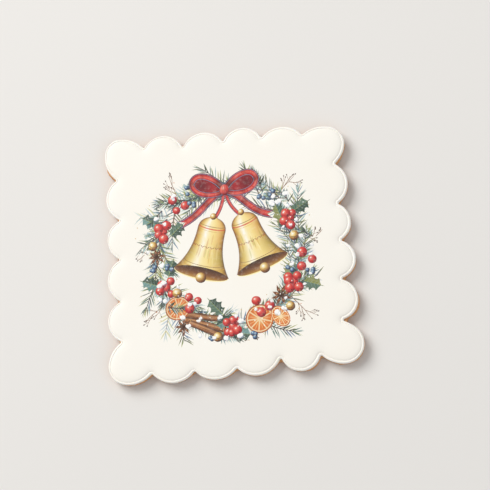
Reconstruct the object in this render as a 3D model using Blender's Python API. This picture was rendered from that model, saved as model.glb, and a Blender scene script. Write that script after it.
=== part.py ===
"""Scalloped square biscuit, iced white and topped with a printed sugar sheet.

Metres, +Z up. The biscuit lies flat on Z = 0 with the middle of its outline at the
origin. +X is the side on the right and +Y the far side when the picture is upright.
"""

import math
import random

import bmesh
import bpy

MM = 0.001

# The outline of the icing is a row of round scallops, each (x, y, radius) in millimetres.
# A corner scallop is flatter beside its neighbours: flanks of a larger radius run into its
# round tip, and it also has the directions, in degrees, between which the tip lies.
# It was cut and iced by hand, so no two are quite alike. The sides run anticlockwise.
RIGHT = [(66.5, -37.0, 13.0), (67.5, -11.5, 12.5), (66.0, 12.5, 13.0), (64.0, 37.5, 15.0)]
BACK_RIGHT = (67.5, 64.0, 11.5, -15, 70)
BACK = [(39.0, 61.5, 17.0), (13.5, 67.0, 13.5), (-12.0, 65.0, 15.0), (-39.0, 66.5, 14.0)]
BACK_LEFT = (-67.0, 70.5, 10.5, 90, 170)
LEFT = [(-63.0, 40.5, 15.0), (-64.5, 13.5, 14.0), (-64.5, -13.0, 15.0), (-66.5, -39.5, 14.0)]
FRONT_LEFT = (-69.5, -68.0, 12.0, 170, 260)
FRONT = [(-40.0, -64.0, 17.0), (-13.0, -63.5, 17.5), (13.0, -64.0, 16.5), (41.0, -67.0, 13.0)]
FRONT_RIGHT = (68.5, -65.0, 12.5, 270, 400)
FLANK_RADIUS = 20.0
NOTCH_RADIUS = 0.8  # how round the bottom of a notch in the icing is
BAKED_NOTCH_RADIUS = 2.4  # the dough has blunter notches, and shows below the icing there

# Segments along each scallop, the tip and flanks of a corner scallop, and each notch.
SCALLOP_STEPS = 8
TIP_STEPS = 8
FLANK_STEPS = 4
NOTCH_STEPS = 2

# Heights, in millimetres.
BISCUIT_THICK = 6.4
LAYER_GAP = 0.3
BEAD_TOP = 8.5  # of the low bead along the icing's edge
SHEET_THICK = 0.4
TOP = 9.2  # of the flat middle of the sheet

# Distances in from the edge of the icing, in millimetres.
BEAD_MIDDLE = 0.95
GROOVE = 1.35
SHEET_EDGE = 1.65
SHOULDER = 6.0  # width over which the top falls away towards the sheet's edge
SHOULDER_DROP = 1.0
SHOULDER_STEPS = (0.0, 0.35, 1.0)  # where the rings across that width lie

# Up the baked side, as (distance in from the icing's edge, height). It swells out to the
# icing's edge and a little past it.
BAKED_SIDE = [(0.8, 0.0), (0.15, 0.6), (-0.15, 2.0), (-0.25, 4.2), (0.05, 5.7)]
BAKED_TOP_INSET = 0.8

# Round the icing's edge, as (distance in, height above the icing's underside).
ICING_EDGE = [(1.3, 0.0), (0.2, 0.15), (0.0, 0.6), (0.15, 1.3)]

# The baked edge isn't smooth: waves along it, as (number round the outline, height).
EDGE_WAVES = [(9, 0.14), (23, 0.11), (41, 0.09), (67, 0.06)]
EDGE_SEED = 5
# In places it also stands out from below the icing, as (share of the way round, half width
# of the place, how far the dough stands out).
BARE_PLACES = [(0.019, 0.012, 1.0), (0.496, 0.008, 0.9), (0.916, 0.01, 0.7)]

# Colour and roughness of each layer.
BISCUIT_LOOK = ((0.52, 0.28, 0.12, 1.0), 0.8)
ICING_LOOK = ((0.93, 0.91, 0.87, 1.0), 0.35)
SHEET_LOOK = ((0.94, 0.91, 0.83, 1.0), 0.55)

SHARP_ANGLE = math.radians(40)


def clear_scene():
    for obj in list(bpy.data.objects):
        bpy.data.objects.remove(obj, do_unlink=True)


def heading(from_point, to_point):
    return math.atan2(to_point[1] - from_point[1], to_point[0] - from_point[0])


def notch_centre(before, after, notch_radius):
    """Centre of the small circle that rounds the notch between two scallops."""
    ax, ay, reach_a = before[0], before[1], before[2] + notch_radius
    bx, by, reach_b = after[0], after[1], after[2] + notch_radius
    apart = math.hypot(bx - ax, by - ay)
    along = (apart * apart + reach_a * reach_a - reach_b * reach_b) / (2 * apart)
    aside = math.sqrt(reach_a * reach_a - along * along)
    ux, uy = (bx - ax) / apart, (by - ay) / apart
    return ax + ux * along + uy * aside, ay + uy * along - ux * aside


def flank(x, y, radius, turn):
    """The larger circle that touches a corner scallop's tip from outside, at that turn."""
    back = FLANK_RADIUS - radius
    return x - back * math.cos(turn), y - back * math.sin(turn), FLANK_RADIUS


def outline_circles():
    """The circles round the outline, each (circle, steps, turn), where turn is the
    direction in which it passes into the next one, or None where a notch comes between."""
    circles = []
    for side, corner in (
        (RIGHT, BACK_RIGHT),
        (BACK, BACK_LEFT),
        (LEFT, FRONT_LEFT),
        (FRONT, FRONT_RIGHT),
    ):
        circles += [(scallop, SCALLOP_STEPS, None) for scallop in side]
        tip, first, last = corner[:3], math.radians(corner[3]), math.radians(corner[4])
        circles.append((flank(*tip, first), FLANK_STEPS, first))
        circles.append((tip, TIP_STEPS, last))
        circles.append((flank(*tip, last), FLANK_STEPS, None))
    return circles


def outline_arcs(notch_radius):
    """The outline as arcs (centre, radius, first angle, last angle, steps, side), where
    side is 1 on a scallop and -1 in a notch, whose circle lies outside the biscuit."""
    circles = outline_circles()
    arcs = []
    for i, (circle, steps, turn) in enumerate(circles):
        before, after = circles[i - 1], circles[(i + 1) % len(circles)]
        first, last = before[2], turn
        if first is None:
            hollow = notch_centre(before[0], circle, notch_radius)
            start, end = heading(hollow, before[0]), heading(hollow, circle)
            end = start - (start - end) % (2 * math.pi)
            arcs.append((hollow, notch_radius, start, end, NOTCH_STEPS, -1))
            first = heading(circle, hollow)
        if last is None:
            last = heading(circle, notch_centre(circle, after[0], notch_radius))
        last = first + (last - first) % (2 * math.pi)
        arcs.append((circle[:2], circle[2], first, last, steps, 1))
    return arcs


def ring(arcs, inset, stand_out=None):
    """Points round the outline, moved in from the icing's edge by inset millimetres, and
    out again by what stand_out gives for the share of the way round."""
    points = []
    total = sum(steps for centre, radius, first, last, steps, side in arcs)
    for centre, radius, first, last, steps, side in arcs:
        for k in range(steps):
            turn = first + (last - first) * k / steps
            depth = inset
            if stand_out:
                depth -= stand_out(len(points) / total)
            reach = radius - side * depth
            points.append(
                (centre[0] + reach * math.cos(turn), centre[1] + reach * math.sin(turn))
            )
    return points


def baked_edge():
    """A function of the share of the way round: how far the baked edge stands out there."""
    draw = random.Random(EDGE_SEED)
    waves = [(number, height, draw.uniform(0, 2 * math.pi)) for number, height in EDGE_WAVES]

    def stand_out(share):
        wavy = sum(
            height * math.sin(2 * math.pi * number * share + start)
            for number, height, start in waves
        )
        bare = sum(
            reach * math.exp(-(((share - place) / half_width) ** 2))
            for place, half_width, reach in BARE_PLACES
        )
        return wavy + bare

    return stand_out


def sheet_top(inset):
    """Height of the sheet's upper face at this distance in from the icing's edge."""
    share = min(1.0, (inset - SHEET_EDGE) / SHOULDER)
    return TOP - SHOULDER_DROP * (1 - share) ** 2


def biscuit_profile():
    """(inset, height) from the flat underside up the side to the flat top."""
    return BAKED_SIDE + [(BAKED_TOP_INSET, BISCUIT_THICK)]


def icing_profile():
    """(inset, height) from under the icing, round its bead and in below the sheet."""
    base = BISCUIT_THICK + LAYER_GAP
    below = SHEET_THICK + LAYER_GAP
    bead_half = (BEAD_MIDDLE + GROOVE) / 2 - BEAD_MIDDLE
    bead = [
        (BEAD_MIDDLE - bead_half, BEAD_TOP - 0.15),
        (BEAD_MIDDLE, BEAD_TOP),
        (BEAD_MIDDLE + bead_half, BEAD_TOP - 0.2),
        (GROOVE, sheet_top(SHEET_EDGE) - below),
    ]
    edge = [(inset, base + height) for inset, height in ICING_EDGE]
    insets = [SHEET_EDGE + SHOULDER * share for share in SHOULDER_STEPS[1:]]
    return edge + bead + [(inset, sheet_top(inset) - below) for inset in insets]


def sheet_profile():
    """(inset, height) from the middle of the underside, round the cut edge to the top."""
    insets = [SHEET_EDGE + SHOULDER * share for share in SHOULDER_STEPS]
    under = [(inset, sheet_top(inset) - SHEET_THICK) for inset in reversed(insets)]
    return under + [(inset, sheet_top(inset)) for inset in insets]


def material(name, look):
    colour, roughness = look
    made = bpy.data.materials.new(name)
    made.use_nodes = True
    shader = made.node_tree.nodes["Principled BSDF"]
    shader.inputs["Base Color"].default_value = colour
    shader.inputs["Roughness"].default_value = roughness
    shader.inputs["Metallic"].default_value = 0.0
    return made


def layer(name, rings, look):
    """A closed solid through the rings, each (points, height), with a flat cap at each end."""
    mesh = bmesh.new()
    loops = [
        [mesh.verts.new((x * MM, y * MM, height * MM)) for x, y in points]
        for points, height in rings
    ]
    for lower, upper in zip(loops, loops[1:]):
        for k in range(len(lower)):
            after = (k + 1) % len(lower)
            mesh.faces.new((lower[k], lower[after], upper[after], upper[k]))
    mesh.faces.new(list(reversed(loops[0])))
    mesh.faces.new(loops[-1])
    bmesh.ops.recalc_face_normals(mesh, faces=mesh.faces)
    bmesh.ops.triangulate(mesh, faces=mesh.faces)
    data = bpy.data.meshes.new(name)
    mesh.to_mesh(data)
    mesh.free()
    data.shade_smooth()
    data.set_sharp_from_angle(angle=SHARP_ANGLE)
    data.materials.append(material(name, look))
    return bpy.data.objects.new(name, data)


def main():
    clear_scene()
    arcs, baked_arcs = outline_arcs(NOTCH_RADIUS), outline_arcs(BAKED_NOTCH_RADIUS)
    stand_out = baked_edge()
    widest = min(inset for inset, height in BAKED_SIDE)
    xs, ys = zip(*ring(baked_arcs, widest, stand_out))
    middle = ((min(xs) + max(xs)) / 2, (min(ys) + max(ys)) / 2)

    def rings(arcs, profile, stand_out=None):
        return [
            ([(x - middle[0], y - middle[1]) for x, y in ring(arcs, inset, stand_out)], height)
            for inset, height in profile
        ]

    collection = bpy.data.collections.new("iced_biscuit")
    bpy.context.scene.collection.children.link(collection)
    baked_rings = rings(baked_arcs, biscuit_profile(), stand_out)
    collection.objects.link(layer("biscuit", baked_rings, BISCUIT_LOOK))
    collection.objects.link(layer("icing", rings(arcs, icing_profile()), ICING_LOOK))
    collection.objects.link(layer("sugar_sheet", rings(arcs, sheet_profile()), SHEET_LOOK))


main()
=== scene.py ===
import math
import random

import bmesh
import bpy
import numpy as np
from mathutils import Matrix, Vector, geometry, noise


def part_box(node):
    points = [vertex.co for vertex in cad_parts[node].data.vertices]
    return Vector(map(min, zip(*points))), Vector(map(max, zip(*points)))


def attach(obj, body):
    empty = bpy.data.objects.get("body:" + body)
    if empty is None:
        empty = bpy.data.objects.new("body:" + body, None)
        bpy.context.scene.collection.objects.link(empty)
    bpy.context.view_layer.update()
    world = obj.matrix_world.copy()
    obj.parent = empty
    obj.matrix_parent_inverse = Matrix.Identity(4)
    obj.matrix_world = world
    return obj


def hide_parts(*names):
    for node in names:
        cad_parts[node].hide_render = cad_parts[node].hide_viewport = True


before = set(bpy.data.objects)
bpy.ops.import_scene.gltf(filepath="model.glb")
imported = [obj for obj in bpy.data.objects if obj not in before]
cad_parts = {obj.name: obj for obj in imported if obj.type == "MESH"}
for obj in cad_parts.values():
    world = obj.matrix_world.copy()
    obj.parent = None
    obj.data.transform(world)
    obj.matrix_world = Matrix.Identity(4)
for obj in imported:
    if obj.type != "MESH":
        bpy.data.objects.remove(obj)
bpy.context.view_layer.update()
mm = 0.001

print("stage: outline")
outline = {  # the icing's edge: round scallops as (x, y, radius) in mm, anticlockwise
    "right": [(66.5, -37.0, 13.0), (67.5, -11.5, 12.5), (66.0, 12.5, 13.0), (64.0, 37.5, 15.0)],
    "backRight": (67.5, 64.0, 11.5, -15, 70),  # a corner's round tip lies between these directions
    "back": [(39.0, 61.5, 17.0), (13.5, 67.0, 13.5), (-12.0, 65.0, 15.0), (-39.0, 66.5, 14.0)],
    "backLeft": (-67.0, 70.5, 10.5, 90, 170),
    "left": [(-63.0, 40.5, 15.0), (-64.5, 13.5, 14.0), (-64.5, -13.0, 15.0), (-66.5, -39.5, 14.0)],
    "frontLeft": (-69.5, -68.0, 12.0, 170, 260),
    "front": [(-40.0, -64.0, 17.0), (-13.0, -63.5, 17.5), (13.0, -64.0, 16.5), (41.0, -67.0, 13.0)],
    "frontRight": (68.5, -65.0, 12.5, 270, 400),
    "flankRadius": 20.0,  # a corner is flatter on both sides of its tip
    "notchRadius": 0.8,
    "bakedNotchRadius": 2.4,  # the dough shows below the icing in the notches
    "notchStep": math.radians(10),
    "waveSteps": {"scallop": 8, "tip": 8, "flank": 4, "notch": 2},  # how waves share the arcs out
}


def heading(fromPoint, toPoint):
    return math.atan2(toPoint[1] - fromPoint[1], toPoint[0] - fromPoint[0])


def notchCentre(before, after, notchRadius):  # of the small circle that touches both scallops
    reachA, reachB = before[2] + notchRadius, after[2] + notchRadius
    apart = math.dist(before[:2], after[:2])
    along = (apart ** 2 + reachA ** 2 - reachB ** 2) / (2 * apart)
    aside = math.sqrt(reachA ** 2 - along ** 2)
    ux, uy = (after[0] - before[0]) / apart, (after[1] - before[1]) / apart
    return before[0] + ux * along + uy * aside, before[1] + uy * along - ux * aside


def flank(x, y, radius, turn):  # the larger circle that touches a corner's tip at that turn
    back = outline["flankRadius"] - radius
    return x - back * math.cos(turn), y - back * math.sin(turn), outline["flankRadius"]


def outlineCircles():  # (circle, kind, direction in which it passes into the next or None)
    circles = []
    for side, corner in (
        ("right", "backRight"), ("back", "backLeft"), ("left", "frontLeft"), ("front", "frontRight"),
    ):
        circles += [(scallop, "scallop", None) for scallop in outline[side]]
        x, y, radius, first, last = outline[corner]
        first, last = math.radians(first), math.radians(last)
        circles.append((flank(x, y, radius, first), "flank", first))
        circles.append(((x, y, radius), "tip", last))
        circles.append((flank(x, y, radius, last), "flank", None))
    return circles


def outlineArcs(notchRadius):  # (circle, first angle, last angle, 1 or -1 in a notch, wave steps)
    circles = outlineCircles()
    waveSteps = outline["waveSteps"]
    arcs = []
    for i, (circle, kind, last) in enumerate(circles):
        before, after = circles[i - 1], circles[(i + 1) % len(circles)]
        first = before[2]
        if first is None:
            hollow = notchCentre(before[0], circle, notchRadius)
            start, end = heading(hollow, before[0]), heading(hollow, circle)
            end = start - (start - end) % math.tau
            arcs.append(((*hollow, notchRadius), start, end, -1, waveSteps["notch"]))
            first = heading(circle, hollow)
        if last is None:
            last = heading(circle, notchCentre(circle, after[0], notchRadius))
        arcs.append((circle, first, first + (last - first) % math.tau, 1, waveSteps[kind]))
    return arcs


icedArcs = outlineArcs(outline["notchRadius"])
bakedArcs = outlineArcs(outline["bakedNotchRadius"])
waveTotal = sum(arc[4] for arc in icedArcs)


def waveLine(lines, seed):  # gives the height of waves that close up after one way round
    draw = random.Random(seed)
    rows = [(number, height, draw.uniform(0, math.tau)) for number, height in lines]
    return lambda share: sum(h * math.sin(math.tau * number * share + start) for number, h, start in rows)


def rawRing(arcs, inset, spacing, shifts=()):  # (x, y, share of the way round), not yet centred
    points, passed = [], 0
    for (x, y, radius), first, last, side, waveSteps in arcs:
        if side > 0:
            steps = round((last - first) * radius / spacing)
        else:
            steps = round((first - last) / outline["notchStep"])
        for k in range(steps):
            turn = first + (last - first) * k / steps
            share = (passed + waveSteps * k / steps) / waveTotal
            reach = radius - side * (inset - sum(amount * wave(share) for wave, amount in shifts))
            points.append((x + reach * math.cos(turn), y + reach * math.sin(turn), share))
        passed += waveSteps
    return points


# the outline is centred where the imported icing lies
rimPoints = [point[:2] for point in rawRing(icedArcs, 0.0, 0.5)]
middle = [
    (min(places) + max(places) - (low + high) / mm) / 2
    for places, low, high in zip(zip(*rimPoints), *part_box("icing"))
]


def ring(arcs, inset, height, spacing, shifts=(), lifts=(), slide=(0.0, 0.0)):  # points in mm
    return [
        (
            x - middle[0] + slide[0],
            y - middle[1] + slide[1],
            height + sum(amount * wave(share) for wave, amount in lifts),
        )
        for x, y, share in rawRing(arcs, inset, spacing, shifts)
    ]


# the tools that shape the layers

def deselectAll():
    bpy.ops.object.select_all(action="DESELECT")


def stackedRings(name, rings):  # a disc on the first ring, extruded from ring to ring
    deselectAll()
    count = len(rings[0])
    bpy.ops.mesh.primitive_circle_add(vertices=count, radius=0.08, fill_type="NGON", location=(0, 0, 0))
    obj = bpy.context.object
    obj.name = obj.data.name = name
    place = obj.data.attributes.new("place", "INT", "POINT")
    place.data.foreach_set("value", list(range(count)))
    for vert, point in zip(obj.data.vertices, rings[0]):
        vert.co = Vector(point) * mm
    bpy.ops.object.mode_set(mode="EDIT")
    bpy.ops.mesh.select_mode(type="FACE")
    bpy.ops.mesh.select_all(action="SELECT")
    for points in rings[1:]:
        bpy.ops.mesh.extrude_region_move(TRANSFORM_OT_translate={"value": (0, 0, mm)})
        mesh = bmesh.from_edit_mesh(obj.data)
        layer = mesh.verts.layers.int["place"]
        for vert in mesh.verts:
            if vert.select:
                vert.co = Vector(points[vert[layer]]) * mm
        bmesh.update_edit_mesh(obj.data)
    bpy.ops.mesh.select_all(action="SELECT")
    bpy.ops.mesh.normals_make_consistent(inside=False)
    bpy.ops.object.mode_set(mode="OBJECT")
    obj.data.attributes.remove(obj.data.attributes["place"])
    return obj


def readAll(items, key):  # one whole number for each item
    values = np.zeros(len(items), dtype=int)
    items.foreach_get(key, values)
    return values


def inShape(points, corners):  # for each point, whether it lies in the shape
    x, y = points.T
    found = np.zeros(len(points), dtype=bool)
    for (ax, ay), (bx, by) in zip(corners, corners[1:] + corners[:1]):
        if ay != by:
            found ^= ((ay > y) != (by > y)) & (x < ax + (y - ay) * (bx - ax) / (by - ay))
    return found


def mapCap(obj, atTop, shapes, loose):
    # fills the flat face at one end with a planar map of the shapes and loose points, and
    # returns, for each face of the map, its number in the mesh and the shapes that cover it
    mesh = bmesh.new()
    mesh.from_mesh(obj.data)
    number = mesh.faces.layers.int.new("number")
    ends = [face for face in mesh.faces if len(face.verts) > 100]  # the only large faces
    cap = sorted(ends, key=lambda face: face.verts[0].co.z)[-1 if atTop else 0]
    rim = list(cap.verts)
    level = rim[0].co.z
    places = [vert.co.xy / mm for vert in rim]
    outer = list(range(len(rim)))
    faces = [outer if atTop else outer[::-1]]
    for shape in shapes:
        faces.append(list(range(len(places), len(places) + len(shape))))
        places += [Vector(point) for point in shape]
    places += [Vector(point) for point in loose]
    found = geometry.delaunay_2d_cdt(places, [], faces, 1, 0.004, True)  # points within 0.004 mm merge
    verts = []
    for point, sources in zip(found[0], found[3]):
        onRim = [source for source in sources if source < len(rim)]
        verts.append(rim[onRim[0]] if onRim else mesh.verts.new((point.x * mm, point.y * mm, level)))
    covers = []
    for corners, sources in zip(found[2], found[5]):
        if 0 in sources:  # else it spans a hollow of the outline
            covers.append([source - 1 for source in sources if source > 0])
            order = corners if atTop else corners[::-1]
            mesh.faces.new([verts[corner] for corner in order])[number] = len(covers)
    mesh.faces.remove(cap)
    mesh.to_mesh(obj.data)
    mesh.free()
    numbers = readAll(obj.data.attributes["number"].data, "value")
    obj.data.attributes.remove(obj.data.attributes["number"])
    order = np.zeros(len(covers), dtype=int)
    order[numbers[numbers > 0] - 1] = np.flatnonzero(numbers > 0)
    return order, covers


def makeActive(obj):
    deselectAll()
    obj.select_set(True)
    bpy.context.view_layer.objects.active = obj


def smoothed(obj, degrees):
    makeActive(obj)
    bpy.ops.object.shade_smooth_by_angle(angle=math.radians(degrees))


def applyModifiers(obj):
    makeActive(obj)
    for modifier in list(obj.modifiers):
        bpy.ops.object.modifier_apply(modifier=modifier.name)


def steep(value, low, high):  # 0 below low, 1 above high, smooth between
    t = min(1.0, max(0.0, (value - low) / (high - low)))
    return t * t * (3 - 2 * t)


def handIn(piece, node):
    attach(piece, "root")
    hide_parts(node)


# shader maths written as sums

class Wire:
    def __init__(self, tree, socket):
        self.tree = tree
        self.socket = socket

    def sum(self, operation, first, second):
        node = self.tree.nodes.new("ShaderNodeMath")
        node.operation = operation
        for slot, value in zip(node.inputs, (first, second)):
            if isinstance(value, Wire):
                self.tree.links.new(value.socket, slot)
            else:
                slot.default_value = value
        return Wire(self.tree, node.outputs[0])

    def __add__(self, other):
        return self.sum("ADD", self, other)

    def __sub__(self, other):
        return self.sum("SUBTRACT", self, other)

    def __rsub__(self, other):
        return self.sum("SUBTRACT", other, self)

    def __mul__(self, other):
        return self.sum("MULTIPLY", self, other)

    __radd__, __rmul__ = __add__, __mul__


class Finish:  # a material that is built up node by node
    def __init__(self, name, **constants):
        self.material = bpy.data.materials.new(name)
        self.material.use_nodes = True
        self.tree = self.material.node_tree
        self.shader = self.tree.nodes["Principled BSDF"]
        for socket, value in constants.items():
            self.shader.inputs[socket.replace("_", " ")].default_value = value
        self.place = self.node("ShaderNodeTexCoord", {}, {}, "Object")

    def node(self, kind, settings, sockets, out=None):
        made = self.tree.nodes.new(kind)
        for key, value in settings.items():
            setattr(made, key, value)
        for key, value in sockets.items():
            slot = next(s for s in made.inputs if s.enabled and key in (s.identifier, s.name))
            if isinstance(value, Wire):
                self.tree.links.new(value.socket, slot)
            else:
                slot.default_value = value
        sources = [s for s in made.outputs if s.enabled and out in (None, s.identifier, s.name)]
        return Wire(self.tree, sources[0])

    def noise(self, size, detail, roughness=0.5):  # size of one wave in mm
        scale = 1 / (size * mm)
        sockets = {"Vector": self.place, "Scale": scale, "Detail": detail, "Roughness": roughness}
        return self.node("ShaderNodeTexNoise", {}, sockets)

    def between(self, wire, low, high):  # 0 at low and 1 at high
        return self.node("ShaderNodeMapRange", {}, {"Value": wire, "From Min": low, "From Max": high})

    def height(self):  # above the underside, in mm
        z = self.node("ShaderNodeSeparateXYZ", {}, {"Vector": self.place}, "Z")
        return z * (1 / mm)

    def mix(self, share, first, second):
        sockets = {"Factor_Float": share, "A_Color": first, "B_Color": second}
        return self.node("ShaderNodeMix", {"data_type": "RGBA"}, sockets)

    def layered(self, first, *layers):  # colours over one another, each (where, colour)
        colour = linear(*first)
        for share, over in layers:
            colour = self.mix(share, colour, linear(*over))
        return colour

    def bump(self, relief, depth):  # depth in mm
        return self.node("ShaderNodeBump", {}, {"Height": relief, "Distance": depth * mm, "Strength": 1.0})

    def feed(self, **links):
        for socket, wire in links.items():
            self.tree.links.new(wire.socket, self.shader.inputs[socket.replace("_", " ")])

    def cover(self, piece):
        piece.data.materials.clear()
        piece.data.materials.append(self.material)


def toLinear(parts):  # from colours as they look to colours as the shader wants them, 0 to 1
    return np.where(parts < 0.04045, parts / 12.92, ((parts + 0.055) / 1.055) ** 2.4)


def linear(red, green, blue, whiteness=1.0):  # the same for one colour, given from 0 to 255
    return tuple(part * whiteness for part in toLinear(np.array([red, green, blue]) / 255)) + (1.0,)


print("stage: gingerbread")
gingerbread = {
    "spacing": 0.62,  # between points round the side
    "inset": 0.4,  # room that the crumbs stand out into
    "side": [(0.8, 0.0), (0.15, 0.6), (-0.15, 2.0), (-0.25, 4.2), (0.05, 5.7), (0.8, 6.4)],
    "underEdge": [(1.3, 0.0), (0.85, 0.04), (0.45, 0.2)],
    "overEdge": [(0.3, 6.05), (0.65, 6.3), (1.4, 6.4), (2.6, 6.4)],
    "sideStep": 0.42,  # between the rings up the side
    "sideRings": 13,
    # where the dough stands out from below the icing: (share of the way round, half width, how far)
    "barePlaces": [(0.019, 0.012, 1.0), (0.496, 0.008, 0.9), (0.916, 0.01, 0.7)],
    "waves": [(9, 0.14), (23, 0.11), (41, 0.09), (67, 0.06)],  # how many go round, and how deep
    "waveSeed": 5,
    "crumbs": [(3.4, 0.34), (1.1, 0.22), (0.5, 0.14)],  # size of a crumb, and how far it stands out
    "crumbedFrom": 0.8,  # the crumbs are full between these heights
    "crumbedTo": 5.8,
    "underStep": 1.5,  # between points of the underside
    "underMargin": 1.2,  # from these points to the rim
    "underDents": 0.26,
    "dentSizes": (7.0, 2.6),
    "rimBrowning": 6.0,  # the underside is darker within about this distance of its rim
    "seed": 21,
}


def bareDough(share):
    return sum(
        reach * math.exp(-(((share - place) / halfWidth) ** 2))
        for place, halfWidth, reach in gingerbread["barePlaces"]
    )


def bakeGingerbread():
    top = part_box("biscuit")[1].z / mm
    step = gingerbread["sideStep"]
    heights = [step + step * k for k in range(gingerbread["sideRings"])]
    insets, levels = zip(*gingerbread["side"])
    profile = list(gingerbread["underEdge"])
    profile += [(np.interp(height, levels, insets), height) for height in heights]
    profile += gingerbread["overEdge"]
    shifts = [(waveLine(gingerbread["waves"], gingerbread["waveSeed"]), 1.0), (bareDough, 1.0)]
    rings = [
        ring(bakedArcs, i + gingerbread["inset"], height, gingerbread["spacing"], shifts)
        for i, height in profile
    ]
    piece = stackedRings("gingerbread", rings)

    # loose points in rows give the underside its dents
    rim = [point[:2] for point in rings[0]]
    mapCap(piece, False, [], scattered(rim, gingerbread["underStep"], gingerbread["underMargin"]))
    wide, narrow = gingerbread["dentSizes"]
    for vert in piece.data.vertices:
        if vert.co.z < 0.01 * mm:
            rough = noise.fractal(vert.co / (wide * mm), 1.0, 2.0, 3) * 0.5
            rough += noise.noise(vert.co / (narrow * mm)) * 0.5
            vert.co.z += gingerbread["underDents"] * mm * max(0.0, rough)
    nearRim = piece.data.attributes.new("nearRim", "FLOAT", "POINT")
    edge = np.array(rim) * mm
    for vert, share in zip(piece.data.vertices, nearRim.data):
        away = np.hypot(edge[:, 0] - vert.co.x, edge[:, 1] - vert.co.y).min() / mm
        share.value = math.exp(-away / gingerbread["rimBrowning"])

    side = piece.vertex_groups.new(name="side")
    for vert in piece.data.vertices:
        height = vert.co.z / mm
        weight = steep(height, 0.0, gingerbread["crumbedFrom"])
        weight *= 1 - steep(height, gingerbread["crumbedTo"], top)
        if weight > 0:
            side.add([vert.index], weight, "REPLACE")
    for size, depth in gingerbread["crumbs"]:
        texture = bpy.data.textures.new("crumbs", "CLOUDS")
        texture.noise_scale = size * mm
        texture.noise_depth = 2
        crumbs = piece.modifiers.new("crumbs", "DISPLACE")
        crumbs.texture = texture
        crumbs.texture_coords = "LOCAL"
        crumbs.vertex_group = "side"
        crumbs.strength = depth * 2 * mm
        crumbs.mid_level = 0.5
    applyModifiers(piece)
    smoothed(piece, 60)
    return piece


def scattered(rim, step, margin):  # loose points in rows, no nearer than margin to the rim
    draw = random.Random(gingerbread["seed"])
    edge = np.array(rim)
    low, high = edge.min(0), edge.max(0)
    xs, ys = np.meshgrid(np.arange(low[0], high[0], step), np.arange(low[1], high[1], step))
    points = np.stack([xs.ravel(), ys.ravel()], 1)
    points += np.array([(draw.uniform(-0.3, 0.3), draw.uniform(-0.3, 0.3)) for point in points]) * step
    points = points[inShape(points, rim)]
    return [point for point in points if ((edge - point) ** 2).sum(1).min() > margin ** 2]


def gingerbreadFinish():
    finish = Finish("gingerbread", Specular_IOR_Level=0.25)
    height = finish.height()
    clouds = finish.noise(9.0, 3.0)
    crumbs = finish.noise(1.1, 3.0, 0.6)
    grit = finish.noise(0.38, 2.0, 0.6)
    low = finish.between(height + crumbs * 1.2, 2.2, 0.5)
    # the underside took most of the heat: deeper patches and a dark rim; its small burst bubbles are darkened
    # as painted shade in their pits
    under = finish.between(height, 0.5, 0.2)
    patches = finish.noise(21.0, 4.0, 0.62)
    shadedPits = finish.noise(2.6, 1.0)
    nearRim = finish.node("ShaderNodeAttribute", {"attribute_name": "nearRim"}, {}, "Fac")
    colour = finish.layered(
        (219, 166, 116),
        (finish.between(clouds, 0.35, 0.65), (202, 144, 96)),
        (finish.between(crumbs, 0.5, 0.74), (233, 188, 141)),  # crumbs
        (finish.between(crumbs, 0.4, 0.29) * 0.8, (168, 112, 72)),  # pores: painted shade, darker where the crumb relief is lowest
        (finish.between(grit, 0.7, 0.77), (134, 88, 58)),  # specks of spice
        (low * 0.7, (162, 102, 62)),
        (under * finish.between(patches, 0.42, 0.64) * 0.7, (148, 88, 50)),
        (under * nearRim * 0.75, (120, 70, 42)),
        # painted shade in the pits of the burst bubbles on the underside
        (under * finish.between(shadedPits, 0.33, 0.27) * 0.6, (104, 62, 40)),
    )
    finish.feed(
        Base_Color=colour,
        Roughness=0.72 + 0.22 * grit,
        Normal=finish.bump(crumbs * 0.7 + grit * 0.5 + under * shadedPits, 0.22),
    )
    return finish


biscuitPiece = bakeGingerbread()
gingerbreadFinish().cover(biscuitPiece)
handIn(biscuitPiece, "biscuit")

print("stage: icing")
icing = {
    "spacing": 0.9,
    # (inset, height, how far it follows the crease): from below, round the bead, under the sheet
    "profile": [
        (3.2, 6.3, 0), (1.3, 6.28, 0), (0.6, 6.3, 0), (0.24, 6.42, 0), (0.06, 6.68, 0), (0.0, 7.0, 0),
        (0.02, 7.3, 0), (0.08, 7.6, 0), (0.19, 7.88, 0.05), (0.35, 8.12, 0.1), (0.55, 8.3, 0.25),
        (0.76, 8.41, 0.45), (0.95, 8.45, 0.65), (1.12, 8.44, 0.8), (1.26, 8.38, 0.9), (1.37, 8.28, 1),
        (1.45, 8.14, 1), (1.56, 8.0, 1), (1.8, 7.85, 1), (3.0, 7.9, 0.6), (5.0, 8.3, 0.2), (7.7, 8.6, 0),
    ],
    "edgeWaves": [(13, 0.05), (31, 0.04), (57, 0.035), (101, 0.02)],  # hand piping isn't even
    "creaseWaves": [(5, 0.13), (12, 0.09), (31, 0.05), (71, 0.03)],
    "heightWaves": [(9, 0.03), (27, 0.03), (61, 0.015)],
    "seeds": (8, 3, 14),
    "slide": (-0.3, 0.05),  # the sheet went on a little off the middle
}
edgeLine = waveLine(icing["edgeWaves"], icing["seeds"][0])
creaseLine = waveLine(icing["creaseWaves"], icing["seeds"][1])
beadLine = waveLine(icing["heightWaves"], icing["seeds"][2])


def pipeIcing():
    rings = []
    for inset, height, follow in icing["profile"]:
        shifts = [(edgeLine, 1 - follow), (creaseLine, follow)]
        lifts = [(beadLine, steep(height, 7.5, 8.4))]
        slide = [part * follow for part in icing["slide"]]
        rings.append(ring(icedArcs, inset, height, icing["spacing"], shifts, lifts, slide))
    piece = stackedRings("white_icing", rings)
    smoothed(piece, 65)
    return piece


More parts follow.
